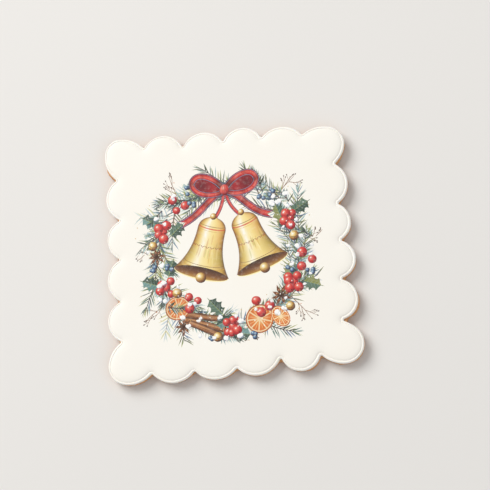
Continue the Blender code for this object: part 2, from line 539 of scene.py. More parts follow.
def icingFinish():
    finish = Finish("whiteIcing", Specular_IOR_Level=0.42, Subsurface_Weight=0.12, Subsurface_Scale=0.0012)
    finish.shader.inputs["Subsurface Radius"].default_value = (1.0, 0.75, 0.5)
    clouds = finish.noise(14.0, 2.0)
    grain = finish.noise(0.7, 3.0, 0.55)
    pits = finish.noise(1.7, 1.0)
    finish.feed(
        Base_Color=finish.layered((248, 245, 239), (finish.between(clouds, 0.3, 0.7), (243, 239, 231))),
        Roughness=0.36 + 0.16 * clouds + 0.06 * grain,
        Normal=finish.bump(grain * 0.3 + pits * 0.5, 0.12),
    )
    return finish


icingPiece = pipeIcing()
icingFinish().cover(icingPiece)
handIn(icingPiece, "icing")

print("stage: wreath painting")
inks = {  # red, green and blue from 0 to 255, as they look on the cream sheet
    "paper": (250, 247, 239), "white": (255, 254, 250), "frost": (226, 233, 234),
    "shadow": (172, 182, 204), "lilac": (214, 216, 228), "night": (44, 50, 52),
    "deepGreen": (52, 74, 60), "pine": (78, 106, 86), "teal": (98, 140, 136),
    "ice": (178, 204, 205), "olive": (132, 136, 74), "lime": (186, 188, 110),
    "navy": (58, 76, 112), "sky": (120, 154, 184), "umber": (66, 44, 34),
    "bark": (122, 78, 50), "cinnamon": (166, 106, 66), "wood": (206, 152, 104),
    "honey": (232, 192, 120), "butter": (250, 234, 176), "straw": (244, 218, 140),
    "ochre": (204, 156, 72), "gold": (196, 150, 66), "moss": (176, 172, 88),
    "blush": (248, 206, 194), "coral": (232, 116, 98), "red": (208, 58, 54),
    "crimson": (168, 34, 42), "wine": (104, 24, 36), "orange": (230, 132, 58),
    "peel": (204, 102, 44), "pith": (250, 224, 176),
}
wreath = {
    "middle": (0.0, -3.0),
    "radius": 45.5,
    "reach": 60.8,  # nothing is painted further out than this to either side
    "grainStep": 1.6,  # between the points that carry the shading of a large shape
    "seed": 11,
    "sprigs": 32,
    "sprigLength": 20.0,
    "rows": 10,  # of needles along a sprig
    "needle": 9.5,
    "needleWidth": 0.78,
    # directions are in degrees from the middle, and out is how far outside the radius
    "twigs": [(48, 20), (128, 19), (214, 20), (322, 20), (282, 14), (175, 14), (8, 14)],  # direction, length
    "eucalyptus": (35, 105, 150, 196, 258, 345),  # directions
    "cinnamon": [(247, 1, 12), (243, -3, 20), (251, 4, 4)],  # direction, out, turn
    "oranges": [  # direction, out, size, squash, turn
        (222, 1, 8.2, 0.92, 0.4), (292, 0, 9.2, 0.96, 1.1), (306, 6, 7.4, 0.7, 2.2),
    ],
    "holly": [  # direction, out, turn
        (268, 4, -10), (274, -6, 200), (262, -7, 130), (200, 2, 160), (196, -4, 70), (336, 3, -20),
        (330, -5, 60), (30, 3, 30), (24, -5, 110), (152, 3, 150), (158, -5, 40),
    ],
    "anise": [(318, -3, 6.4, 0.3), (234, 8, 5.4, 0.7), (176, 1, 5.6, 0.1)],  # direction, out, size, turn
    "redBerries": [  # direction, out, how many
        (270, 0, 7), (203, -1, 5), (333, 0, 6), (27, 0, 5), (155, 0, 5), (228, -7, 3), (300, -7, 3),
        (352, 3, 3), (130, 2, 3),
    ],
    "blueBerries": [  # direction, out
        (186, 5), (188, -6), (345, 7), (343, -6), (52, 4), (57, -4), (118, 5), (122, -4), (256, 9), (283, 9),
    ],
    "jingleBells": [(212, -5), (316, 6), (168, 4), (12, -2), (259, 7)],
    "bells": [(-7.5, 22.5, -17, 37.0, 18.0), (9.5, 23.5, 19, 36.0, 17.5)],  # x, y, turn, height, half width
    "bellTops": [(-8.2, 23.2), (9.8, 24.4)],
    "strings": [  # the points that steer each curve
        ((-1.0, 37.0), (-1.5, 31.0), (-4.0, 26.0), (-8.0, 21.0)),
        ((1.0, 37.0), (2.0, 31.0), (5.0, 26.5), (9.5, 22.5)),
    ],
    "bow": (0.0, 40.0, 0.98),  # x, y, size
    "washes": 34,
    "snowfalls": 64,
    "flecks": 250,
    "spatters": 140,
}
painting = []  # from back to front: (corners in mm, paint)
grains = []  # loose points that carry the shading inside the shapes
brush = random.Random(wreath["seed"])


def vary(amount):
    return brush.uniform(-amount, amount)


def blend(stops, t):  # a stop is (place, ink, opacity), and the opacity is 1 where it is left out
    table = np.array([(at, *inks[name], 255 * (given[0] if given else 1)) for at, name, *given in stops])
    return np.stack([np.interp(t, table[:, 0], part) for part in table[:, 1:].T / 255], -1)


def plainPaint(name, opacity=1.0, difference=0.06):
    shade = 1 + vary(difference)
    colour = np.array([min(255.0, part * shade) / 255 for part in inks[name]] + [opacity])
    return lambda x, y: np.broadcast_to(colour, x.shape + (4,))


def acrossPaint(start, end, stops):
    dx, dy = end[0] - start[0], end[1] - start[1]
    lengthSquared = dx * dx + dy * dy
    return lambda x, y: blend(stops, ((x - start[0]) * dx + (y - start[1]) * dy) / lengthSquared)


def aroundPaint(cx, cy, radius, stops):
    return lambda x, y: blend(stops, np.hypot(x - cx, y - cy) / radius)


def alongPaint(path, halfWidth, stops, folds=()):
    # the stops run across the path from -1 to 1, and a fold is (share of the way, width, darkening)
    spine = np.array(path)
    step = np.gradient(spine, axis=0)
    step /= np.hypot(step[:, 0], step[:, 1])[:, None]

    def paint(x, y):
        gap = np.stack([x[..., None] - spine[:, 0], y[..., None] - spine[:, 1]], -1)
        near = np.argmin((gap ** 2).sum(-1), -1)
        away = np.take_along_axis(gap, near[..., None, None], -2)[..., 0, :]
        side = (step[near, 0] * away[..., 1] - step[near, 1] * away[..., 0]) / halfWidth
        colour = blend(stops, side)
        share = near / (len(spine) - 1)
        for place, width, darkening in folds:
            colour[..., :3] *= 1 - darkening * np.exp(-((share - place) / width) ** 2)[..., None]
        return colour

    return paint


def put(points, paint):
    area = sum(a[0] * b[1] - b[0] * a[1] for a, b in zip(points, points[1:] + points[:1]))
    painting.append((points if area > 0 else points[::-1], paint))


def turned(points, x, y, angle):
    c, s = math.cos(angle), math.sin(angle)
    return [(x + px * c - py * s, y + px * s + py * c) for px, py in points]


def turnedPoint(px, py, x, y, angle):
    return turned([(px, py)], x, y, angle)[0]


def dab(points, x, y, name, opacity=1.0, angle=0.0, difference=0.06):  # a small shape of one colour
    put(turned(points, x, y, angle), plainPaint(name, opacity, difference))


def discPoints(rx, ry=None, count=18, wobble=0.0):
    ry = rx if ry is None else ry
    points = []
    for k in range(count):
        reach, turn = 1 + vary(wobble), math.tau * k / count
        points.append((rx * reach * math.cos(turn), ry * reach * math.sin(turn)))
    return points


def curve(a, b, c, d, count=14):  # smooth from a to d, steered by b and c
    points = []
    for k in range(count + 1):
        t = k / count
        shares = ((1 - t) ** 3, 3 * t * (1 - t) ** 2, 3 * t * t * (1 - t), t ** 3)
        points.append(tuple(sum(w * p[axis] for w, p in zip(shares, (a, b, c, d))) for axis in (0, 1)))
    return points


def strokePoints(path, startWidth, endWidth, middleWidth=None):
    pairs = []
    last = len(path) - 1
    for k, (x, y) in enumerate(path):
        angle = heading(path[max(0, k - 1)], path[min(last, k + 1)])
        share = k / last
        if middleWidth is None:
            width = startWidth + (endWidth - startWidth) * share
        elif share < 0.5:
            width = startWidth + (middleWidth - startWidth) * share * 2
        else:
            width = middleWidth + (endWidth - middleWidth) * (share * 2 - 1)
        pairs.append(turned([(0, width / 2), (0, -width / 2)], x, y, angle))
    return [left for left, right in pairs] + [right for left, right in reversed(pairs)]


def line(path, startWidth, endWidth, name, opacity, middleWidth=None):
    put(strokePoints(path, startWidth, endWidth, middleWidth), plainPaint(name, opacity))


def sowGrains(corners, step):  # loose points inside a shape
    low, high = np.min(corners, 0) + step / 2, np.max(corners, 0)
    spots = [
        (x + vary(step * 0.3), y + vary(step * 0.3))
        for y in np.arange(low[1], high[1], step)
        for x in np.arange(low[0], high[0], step)
    ]
    inside = inShape(np.array(spots), corners)
    grains.extend(spot for spot, kept in zip(spots, inside) if kept)


def ringGrains(x, y, r, rings):  # loose points in rings: (share of the radius, how many)
    for share, count in rings:
        grains.extend(turned(discPoints(r * share, None, count), x, y, vary(3)))


def needle(x, y, angle, length, width, tones, opacity):
    c, s = math.cos(angle), math.sin(angle)
    bend = vary(0.05) * length
    mx, my = x + c * length * 0.55 - s * bend, y + s * length * 0.55 + c * bend
    tip = (x + c * length, y + s * length)
    corners = [
        (x - s * width * 0.3, y + c * width * 0.3), (x + s * width * 0.3, y - c * width * 0.3),
        (mx + s * width * 0.5, my - c * width * 0.5), tip, (mx - s * width * 0.5, my + c * width * 0.5),
    ]
    put(corners, acrossPaint((x, y), tip, [(0, tones[0], opacity), (1, tones[1], opacity * 0.85)]))


def sprig(x, y, angle, length, needleLength, tones, opacity):
    rows = wreath["rows"]
    bend = 0.25
    path = []
    turn = angle
    for k in range(9):
        path.append((x, y))
        turn += bend / 8
        x, y = x + math.cos(turn) * length / 8, y + math.sin(turn) * length / 8
    if max(max(abs(px), abs(py)) for px, py in path) > wreath["reach"] - 3:
        return
    line(path, 1.0, 0.35, "umber", opacity * 0.8)
    for k in range(rows):
        share = (k + 0.5) / rows
        spot = share * 8
        a, b = path[int(spot)], path[min(8, int(spot) + 1)]
        px, py = a[0] + (b[0] - a[0]) * (spot % 1), a[1] + (b[1] - a[1]) * (spot % 1)
        along = angle + bend * share
        for side in (-1, 1):
            spread = math.radians(58 - 30 * share + vary(11))
            reach = needleLength * (1 - 0.3 * share) * (1 + vary(0.2))
            width = wreath["needleWidth"] * (1 + vary(0.3))
            pair = brush.choice(tones)
            needle(px, py, along + side * spread, reach, width, pair, opacity * (1 + vary(0.1)))
    for k in range(4):
        needle(*path[-1], angle + bend + vary(0.35), needleLength * 0.7, 0.4, brush.choice(tones), opacity)


berryStops = {
    "red": [(0, "blush"), (0.28, "coral"), (0.62, "red"), (1.1, "crimson"), (1.42, "wine")],
    "blue": [(0, "ice"), (0.4, "sky"), (0.85, "navy"), (1.35, "night")],
    "gold": [(0, "white"), (0.3, "butter"), (0.7, "ochre"), (1.1, "bark"), (1.4, "umber")],
}


def berry(x, y, r, kind="red"):
    shape = turned(discPoints(r, r * (1 + vary(0.06)), 18, 0.02), x, y, vary(3))
    put(shape, aroundPaint(x - r * 0.3, y + r * 0.34, r, berryStops[kind]))
    ringGrains(x, y, r, ((0.36, 7), (0.7, 12)))
    grains.append((x, y))
    dab(discPoints(r * 0.2, r * 0.13, 8), x - r * 0.32, y + r * 0.38, "white", 0.8, 0.6)
    if kind != "gold":
        dab(discPoints(r * 0.17, None, 7, 0.3), x + r * 0.36, y - r * 0.42, "umber", 0.75)


def hollyLeaf(x, y, angle, length, width, light, dark):
    # spikes along each side, and a hollow curve from each spike to the next
    spikes = [(0, 0.06), (0.2, 0.75), (0.46, 1.0), (0.72, 0.8), (1.0, 0.0)]
    halves = []
    for side in (1, -1):
        rim = []
        for (ax, ay), (bx, by) in zip(spikes, spikes[1:]):
            for t in (0, 0.25, 0.5, 0.75):
                sag = 0.36 * 4 * t * (1 - t)
                out = max(0.04, ay + (by - ay) * t - sag)
                rim.append(((ax + (bx - ax) * t) * length, side * out * width))
        rim.append((length, 0))
        halves.append(rim + [(length * k / 4, 0.012 * length * math.sin(k)) for k in (3, 2, 1, 0)])
    foot, top = turned([(0, -width), (0, width)], x, y, angle)
    for half, tone in zip(halves, (light, dark)):
        shape = turned(half, x, y, angle)
        put(shape, acrossPaint(foot, top, [(0, dark, 0.96), (0.5, tone, 0.92), (1, light, 0.9)]))
        sowGrains(shape, 2.0)
    spine = turned([(0, 0), (length * 0.5, width * 0.03), (length * 0.97, 0)], x, y, angle)
    line(spine, 0.45, 0.12, "lime", 0.7)
    for k in range(1, 6):
        for side in (-1, 1):
            root, end = length * (k / 7), length * (k / 7 + 0.13)
            line(turned([(root, 0), (end, side * width * 0.55)], x, y, angle), 0.24, 0.08, "ice", 0.55)


def orangeSlice(x, y, r, flat, angle):
    def place(points):
        return turned([(px, py * flat) for px, py in points], x, y, angle)

    rind = [(0, "peel"), (0.9, "peel"), (1, "bark")]
    put(place(discPoints(r, None, 34, 0.008)), aroundPaint(x, y, r, rind))
    put(place(discPoints(r * 0.91, None, 30, 0.01)), plainPaint("pith", 0.97))
    count = 9
    for k in range(count):
        start, end = math.tau * (k + 0.07) / count, math.tau * (k + 0.93) / count
        arc = [start + (end - start) * t / 5 for t in range(6)]
        wedge = [(r * 0.83 * math.cos(a), r * 0.83 * math.sin(a)) for a in arc]
        wedge += [(r * 0.14 * math.cos((start + end) / 2), r * 0.14 * math.sin((start + end) / 2))]
        stops = [(0, "honey"), (0.5, "orange", 0.95), (1, "peel", 0.95)]
        put(place(wedge), aroundPaint(x, y, r * 0.95, stops))
        for j in range(3):
            a = start + (end - start) * (j + 0.7 + vary(0.2)) / 3.4
            shares = (0.3 + vary(0.08), 0.74 + vary(0.05))
            streak = [(r * f * math.cos(a), r * f * math.sin(a)) for f in shares]
            line(place(streak), 0.18, 0.34, "pith" if j % 2 else "peel", 0.55)
    put(place(discPoints(r * 0.1, None, 8, 0.2)), plainPaint("pith", 0.9))


def cinnamonStick(x, y, angle, length, width):
    path = turned([(length * (k / 6 - 0.5), 0.25 * math.sin(k)) for k in range(7)], x, y, angle)
    stops = [(-1, "umber"), (-0.7, "bark"), (-0.2, "wood"), (0.15, "cinnamon"), (0.6, "bark"), (1, "umber")]
    put(strokePoints(path, width, width * 0.96), alongPaint(path, width / 2, stops))
    for side in (-0.3, 0.05, 0.3):
        grains.extend(turned([(length * (k / 12 - 0.5), side * width) for k in range(1, 12)], x, y, angle))
    for k in range(9):
        start, offset = vary(0.3), vary(0.4) * width
        mark = [(length * (start + f), offset + vary(0.1)) for f in (-0.14, 0.0, 0.15)]
        line(turned(mark, x, y, angle), 0.1, 0.1, brush.choice(("umber", "wood", "umber")), 0.6, 0.34)
    for end in (-1, 1):  # the rolled ends
        cx, cy = turnedPoint(end * length / 2, 0, x, y, angle)
        dab(discPoints(width * 0.24, width * 0.5, 14), cx, cy, "wood", 1.0, angle)
        for side in (-1, 1):
            curl = turned(discPoints(width * 0.13, width * 0.2, 9), cx, cy, angle)
            dab(curl, *turnedPoint(0, side * width * 0.22, 0, 0, angle), "umber", 0.95)


def starAnise(x, y, r, angle):
    pod = [(0, "umber"), (0.6, "bark"), (1, "cinnamon")]
    for k in range(8):
        a = angle + math.tau * k / 8 + vary(0.08)
        reach = r * (1 + vary(0.12))
        path = turned([(0.1 * r, 0), (reach * 0.55, 0.2), (reach, 0)], x, y, a)
        put(strokePoints(path, 0.7, 0.15, r * 0.34), acrossPaint((x, y), path[-1], pod))
        slit = turned([(reach * 0.25, 0), (reach * 0.6, 0.1), (reach * 0.88, 0)], x, y, a)
        line(slit, 0.15, 0.1, "umber", 0.9, r * 0.13)
        dab(discPoints(r * 0.12, r * 0.075, 9), *turnedPoint(reach * 0.52, 0, x, y, a), "cinnamon", 1.0, a)
        dab(discPoints(r * 0.04, r * 0.02, 5), *turnedPoint(reach * 0.5, 0.12, x, y, a), "white", 0.7, a)
    dab(discPoints(r * 0.13, None, 8, 0.1), x, y, "umber")


def jingleBell(x, y, r, angle):
    berry(x, y, r, "gold")
    seam = turned([(-r * 0.75, -r * 0.1), (0, -r * 0.3), (r * 0.75, -r * 0.1)], x, y, angle)
    line(seam, 0.3, 0.3, "umber", 0.9)
    line(turned([(0, -r * 0.28), (0, -r * 0.85)], x, y, angle), 0.34, 0.2, "umber", 0.9)
    dab(discPoints(0.4, None, 8), *turnedPoint(0, -r * 0.85, x, y, angle), "umber", 0.9)


def eucalyptus(x, y, angle, length, size):
    turns = [angle + 0.3 * k / 6 for k in range(7)]
    path = [
        (x + math.cos(turn) * length * k / 6, y + math.sin(turn) * length * k / 6)
        for k, turn in enumerate(turns)
    ]
    line(path, 0.5, 0.25, "moss", 0.8)
    for k in range(1, 7):
        for side in (-1, 1):
            a = turns[k] + side * (1.15 - 0.1 * k)
            reach = size * (1.05 - 0.09 * k)
            leaf = [(px + reach, py) for px, py in discPoints(reach, reach * 0.8, 12, 0.05)]
            far = turnedPoint(reach * 2, 0, *path[k], a)
            stops = [(0, "teal", 0.8), (0.6, "ice", 0.75), (1, "teal", 0.7)]
            put(turned(leaf, *path[k], a), acrossPaint(path[k], far, stops))
            line([path[k], far], 0.2, 0.08, "frost", 0.8)


def twig(x, y, angle, length, depth=2):
    path = [(x, y)]
    turn = angle
    for k in range(6):
        turn += vary(0.16)
        path.append((path[-1][0] + math.cos(turn) * length / 6, path[-1][1] + math.sin(turn) * length / 6))
    line(path, 0.2 + 0.22 * depth, 0.2, "bark", 0.85)
    dab(discPoints(0.55, 0.38, 8), *path[-1], "umber", 0.85, turn)
    if depth:
        for k in (2, 3, 4):
            twig(*path[k], angle + brush.choice((-1, 1)) * (0.6 + vary(0.15)), length * 0.42, depth - 1)


def snow(x, y, size):
    dab(discPoints(size * 1.15, size * 0.85, 14, 0.08), x + 0.2, y - 0.35, "shadow", 0.45, vary(3))
    puff = [(0, "white"), (0.7, "white"), (1.5, "lilac")]
    for k in range(3):
        px, py, r = x + vary(size * 0.6), y + vary(size * 0.35), size * (0.7 + vary(0.15))
        shape = turned(discPoints(r, r * 0.85, 12, 0.08), px, py, vary(3))
        put(shape, aroundPaint(px - r * 0.2, py + r * 0.3, r, puff))


def wash(x, y, r, name, opacity):  # a thin wash that fades out
    shape = turned(discPoints(r, r * 0.9, 16, 0.1), x, y, 0)
    put(shape, aroundPaint(x, y, r * 0.9, [(0, name, opacity), (1, name, 0)]))
    ringGrains(x, y, r, ((0.35, 6), (0.7, 11)))


def onRing(degrees, out):
    return turnedPoint(wreath["radius"] + out, 0, *wreath["middle"], math.radians(degrees))


def needleRing(count, tones, opacity, size, lift, splay, offset):
    for k in range(count):
        degrees = 360 * (k + offset + vary(0.25)) / count
        x, y = onRing(degrees, lift + vary(3.5))
        side = (-1, 0, 1)[k % 3]
        angle = math.radians(degrees + 78) - side * splay + vary(0.12)
        length = wreath["sprigLength"] * size * (1 + vary(0.12))
        sprig(x, y, angle, length, wreath["needle"] * size, tones, opacity)


# shares of a bell's height, closer together round its crown
bellDowns = [0.004, 0.015, 0.035, 0.065, 0.1, 0.14, 0.19] + [0.25 + 0.05 * k for k in range(16)]


def bellWidth(down):  # from 0 to 1, at a share of the way down a bell
    crown = 0.5 * np.sqrt(1 - (1 - np.clip(down / 0.2, 0, 1)) ** 2)
    return crown + 0.5 * np.clip((down - 0.2) / 0.8, 0, 1) ** 2.5


def bellShape(height, half):
    left = [(-float(bellWidth(down)) * half, -down * height) for down in bellDowns]
    turns = [math.pi * k / 14 for k in range(1, 14)]
    mouth = [(-half * math.cos(turn), -height - half * 0.22 * math.sin(turn)) for turn in turns]
    return left + mouth + [(-px, py) for px, py in reversed(left)]


def adornBell(x, y, angle, height, half):
    def at(down, share):  # a point on the bell, at a share of its height and of its width there
        reach = float(bellWidth(down)) * half
        level = -down * height - 0.2 * reach * math.sqrt(1 - share ** 2)
        return turnedPoint(share * reach, level, x, y, angle)

    for k in range(16):  # brush strokes down its side
        down, share = brush.uniform(0.24, 0.62), vary(0.88)
        stroke = [at(down + 0.06 * j, share) for j in range(4)]
        line(stroke, 0.3, 0.3, brush.choice(("ochre", "wood", "moss", "butter")), 0.3, 1.2)
    for k in range(9):  # a row of leaves round its waist
        side = math.radians(20 * k - 80)
        spot = at(0.5, 0.93 * math.sin(side))
        for lean in (0.6, math.pi - 0.6):
            leaf = turned([(0.2, 0), (1, 0.38), (1.9, 0), (1, -0.38)], 0, 0, lean)
            dab([(px * max(0.35, math.cos(side)), py) for px, py in leaf], *spot, "bark", 0.55, angle)
        dab(discPoints(0.34, None, 6), *spot, "crimson", 0.7, angle)


def bell(x, y, degrees, height, half):
    angle = math.radians(degrees)
    shape = turned(bellShape(height, half), x, y, angle)
    c, s = math.cos(angle), math.sin(angle)
    across = [
        (-1, "bark"), (-0.86, "ochre"), (-0.6, "straw"), (-0.34, "white"), (-0.12, "butter"),
        (0.3, "straw"), (0.62, "honey"), (0.84, "ochre"), (1, "bark"),
    ]
    lower = [(-1, "moss"), (-0.4, "butter"), (0.2, "straw"), (0.7, "moss"), (1, "olive")]

    def mouthPoints(share):
        return [(px * share, py - height) for px, py in discPoints(half, half * 0.22, 26)]

    def paint(px, py):
        u = (px - x) * c + (py - y) * s
        v = -(-(px - x) * s + (py - y) * c) / height
        width = np.maximum(0.1, bellWidth(v)) * half
        share = np.clip(0.45 * np.exp(-((v - 0.7) / 0.2) ** 2), 0, 1)[..., None]
        return blend(across, u / width) * (1 - share) + blend(lower, u / width) * share

    put(shape, paint)
    sowGrains(shape, wreath["grainStep"])
    adornBell(x, y, angle, height, half)
    bands = [  # (share of the way down, width, ink)
        (0.13, 0.5, "bark"), (0.17, 0.9, "red"), (0.21, 0.3, "ochre"),
        (0.8, 0.45, "bark"), (0.85, 1.1, "ochre"), (0.9, 0.4, "bark"),
    ]
    for place, width, name in bands:
        reach = float(bellWidth(place)) * half * 0.985
        arc = [
            (reach * t, -place * height - reach * 0.2 * math.sqrt(max(0.0, 1 - t * t)))
            for t in [k / 7 - 1 for k in range(15)]
        ]
        line(turned(arc, x, y, angle), width * 0.6, width * 0.6, name, 0.62, width)
    mouth = turned(mouthPoints(0.97), x, y, angle)
    top, low = turned([(0, -height + half * 0.22), (0, -height - half * 0.22)], x, y, angle)
    put(mouth, acrossPaint(top, low, [(0, "umber"), (0.55, "bark"), (1, "ochre")]))
    lip = mouthPoints(0.99)[13:] + [(half * 0.99, -height)]
    line(turned(lip, x, y, angle), 0.3, 0.3, "butter", 0.9, 0.9)
    berry(*turnedPoint(0.5, -height - half * 0.16, x, y, angle), half * 0.19, "gold")
    line(shape[:len(bellDowns)], 0.2, 0.5, "bark", 0.55)
    line(shape[-len(bellDowns):], 0.5, 0.25, "umber", 0.6)


def ribbonBand(path, width, folds=(), cut=0.0):  # cut is the depth of a swallowtail end
    stops = [
        (-1, "wine"), (-0.6, "crimson"), (-0.2, "red"), (0.15, "coral"), (0.5, "red"), (0.75, "crimson"),
        (1, "wine"),
    ]
    body = strokePoints(path, width, width)
    if cut:
        angle = heading(path[-2], path[-1])
        body.insert(len(path), (path[-1][0] - cut * math.cos(angle), path[-1][1] - cut * math.sin(angle)))
    put(body, alongPaint(path, width / 2, stops, folds))
    for side in (-0.3, -0.1, 0.08, 0.28):
        grains.extend(strokePoints(path, width * side * 2, width * side * 2)[1:len(path) - 1])
    for side in (-0.76, 0.76):  # a line along each edge
        hem = strokePoints(path, width * side, width * side)[:len(path)]
        line(hem, width * 0.07, width * 0.07, "sky", 0.85)


def bow(x, y, size):
    def at(px, py):
        return (x + px * size, y + py * size)

    def bent(side, points, count):  # a curve to the left or to the right
        return curve(*(at(side * px, py) for px, py in points), count)

    # tails first, then the loops, then the knot
    tailFolds = ((0.12, 0.1, 0.35), (0.42, 0.07, 0.3), (0.74, 0.06, 0.25))
    for side, drop in ((-1, 0.0), (1, 1.6)):
        tail = bent(side, [(1, -1), (13, -5), (15, -15 - drop), (31, -21 + drop)], 34)
        ribbonBand(tail, 5.4 * size, tailFolds, 4.2 * size)
    for side in (-1, 1):
        inner = bent(side, [(2, 1), (10, 9), (19, 12), (20, 4)], 12)
        inner += bent(side, [(20, 4), (17, -1), (8, -1), (2, -1)], 12)[1:]
        put(inner, aroundPaint(*at(side * 15, 4), 16 * size, [(0, "wine"), (0.5, "crimson"), (1, "wine")]))
        sowGrains(inner, 1.8)
        upper = bent(side, [(1, 1.5), (7, 10), (20, 15), (21.5, 5)], 30)
        ribbonBand(upper, 4.6 * size, ((0.1, 0.12, 0.45), (0.55, 0.05, 0.15), (1.0, 0.1, 0.35)))
        under = bent(side, [(21.5, 6), (21, -2), (8, -5), (1, -1)], 28)
        ribbonBand(under, 4.0 * size, ((0.0, 0.1, 0.3), (0.55, 0.05, 0.2), (1.0, 0.14, 0.5)))
    knot = turned(discPoints(3.1 * size, 3.6 * size, 16, 0.04), x, y, 0)
    stops = [(0, "blush"), (0.3, "coral"), (0.7, "red"), (1.1, "wine")]
    put(knot, aroundPaint(x - 0.9, y + 1.2, 4.2 * size, stops))
    sowGrains(knot, 1.2)
    for px in (-1.2, 0.2, 1.4):
        line([at(px, 2.6), at(px * 0.7, 0), at(px, -2.6)], 0.2, 0.2, "wine", 0.6, 0.4)


def fallPlaces(count, spread):  # round the wreath, and clear of the bells and the bow
    for k in range(count):
        x, y = onRing(brush.uniform(0, 360), vary(spread))
        onBow = abs(x) < 29 and y > 22
        if math.dist((x, y), wreath["middle"]) > 35 and not onBow:
            yield x, y


# the inks of a needle's root and of its tip
farTones = [("teal", "ice"), ("ice", "ice"), ("moss", "lime"), ("sky", "ice")]
midTones = [
    ("deepGreen", "teal"), ("night", "olive"), ("navy", "sky"), ("night", "pine"), ("teal", "ice"),
    ("olive", "lime"), ("deepGreen", "lime"),
]
nearTones = [("night", "deepGreen"), ("night", "pine"), ("navy", "teal"), ("pine", "lime"), ("teal", "frost")]
leafTones = [("teal", "deepGreen"), ("pine", "deepGreen"), ("olive", "pine")]

# painted from back to front
for k in range(wreath["washes"]):
    place = onRing(11 * k + vary(5), vary(6))
    wash(*place, 8 + vary(2), brush.choice(("ice", "teal", "lime", "sky", "blush")), 0.34)
for degrees, length in wreath["twigs"]:
    twig(*onRing(degrees, 2), math.radians(degrees + vary(14)), length)
needleRing(14, farTones, 0.6, 1.0, 0.0, 0.75, 0.3)
for degrees in wreath["eucalyptus"]:
    eucalyptus(*onRing(degrees, -2), math.radians(degrees + 60 + vary(30)), 15, 2.0)
needleRing(wreath["sprigs"], midTones, 0.93, 1.0, 0.0, 0.62, 0.0)
needleRing(wreath["sprigs"] // 2, nearTones, 0.97, 0.74, -1.0, 0.5, 0.6)
for degrees, out, turn in wreath["cinnamon"]:
    cinnamonStick(*onRing(degrees, out), math.radians(turn + 150), 27, 4.2)
for degrees, out, r, flat, turn in wreath["oranges"]:
    orangeSlice(*onRing(degrees, out), r, flat, turn)
for degrees, out, turn in wreath["holly"]:
    light, dark = brush.choice(leafTones)
    hollyLeaf(*onRing(degrees, out), math.radians(turn), 15 + vary(1.5), 5.2, light, dark)
for degrees, out, r, turn in wreath["anise"]:
    starAnise(*onRing(degrees, out), r, turn)
needleRing(10, nearTones, 0.9, 0.6, 7.0, 0.9, 0.1)
for degrees, out, count in wreath["redBerries"]:
    cx, cy = onRing(degrees, out)
    for k in range(count):
        a = math.tau * k / count + vary(0.4)
        reach = 0 if k == 0 and count > 4 else 4.3 + vary(0.8)
        berry(*turnedPoint(reach, 0, cx, cy, a), 2.9 + vary(0.5))
for degrees, out in wreath["blueBerries"]:
    cx, cy = onRing(degrees, out)
    for k in range(3):
        berry(cx + vary(2.4), cy + vary(2.4), 1.5 + vary(0.2), "blue")
for degrees, out in wreath["jingleBells"]:
    jingleBell(*onRing(degrees, out), 3.0 + vary(0.3), vary(0.5))
for x, y in fallPlaces(wreath["snowfalls"], 8.5):
    snow(x, y, 1.0 + abs(vary(1.0)))
for x, y in fallPlaces(wreath["flecks"], 15):
    dab(discPoints(0.2 + abs(vary(0.25)), None, 6, 0.2), x, y, "white", 0.9, difference=0.01)

# the two large bells, and the bow that they hang from
for corners in wreath["strings"]:
    ribbonBand(curve(*corners), 2.4)
for values in wreath["bells"]:
    bell(*values)
for x, y in wreath["bellTops"]:
    berry(x, y, 2.1, "gold")
bow(*wreath["bow"])
for x, y in fallPlaces(wreath["spatters"], 18):
    speck = discPoints(0.16 + abs(vary(0.28)), None, 6, 0.25)
    dab(speck, x, y, brush.choice(("ochre", "gold", "peel")), 0.75)

print("stage: printed sheet")
sheet = {
    "spacing": 1.3,
    "edge": 1.5,  # how far it lies in from the icing's edge
    "thick": 0.4,
    "falls": [(6.2, 0.6), (1.7, 0.4)],  # the top falls away to the edge: (over this width, how far)
    "cut": [(0.14, -0.4), (0.0, -0.34), (-0.06, -0.2), (-0.02, -0.08), (0.06, -0.02), (0.18, 0.0)],
    "steps": (0.4, 0.8, 1.25, 1.8, 2.5, 3.4, 4.6, 6.2),  # where the rings across the shoulder lie
    "waviness": 0.14,
    "waveLength": 34.0,
    "whiteness": 0.93,
    "waved": (8.5, 8.9),  # heights between which the waves set in
    "coverSize": 16.0,  # of the shapes that may hide others, in square mm
    "coverOpacity": 0.89,
    "mapSide": 170.0,  # of the square that the bake's own map spans, in mm
}


def sheetLevel(run):  # height of the sheet's top at this distance in from its edge
    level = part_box("sugar_sheet")[1].z / mm
    for width, drop in sheet["falls"]:
        level -= drop * (1 - min(1.0, max(0.0, run / width))) ** 2
    return level


def layRing(run, lower):
    follow = max(0.0, 1 - run / sheet["steps"][-1])
    level = sheetLevel(run) + lower
    slide = [part * follow for part in icing["slide"]]
    return ring(icedArcs, sheet["edge"] + run, level, sheet["spacing"], [(creaseLine, follow)], slide=slide)


def laySheet():
    rings = [layRing(run, -sheet["thick"]) for run in reversed(sheet["steps"])]
    rings += [layRing(run, lower) for run, lower in sheet["cut"]]
    rings += [layRing(run, 0.0) for run in sheet["steps"]]
    return stackedRings("printed_sheet", rings)


def shownShapes():  # the painting without what lies out of reach or wholly behind a large shape
    shown, covers = [], []
    for corners, paint in reversed(painting):
        points = np.array(corners)
        low, high = points.min(0), points.max(0)
        around = [cover for cover, a, b in covers if (low >= a).all() and (high <= b).all()]
        hidden = any(inShape(points, cover).all() for cover in around)
        if hidden or abs(points).max() >= wreath["reach"]:
            continue
        shown.append((corners, paint))
        large = np.prod(high - low) > sheet["coverSize"]
        if large and paint(*points.T)[:, 3].min() > sheet["coverOpacity"]:
            covers.append((corners, low, high))
    return shown[::-1]


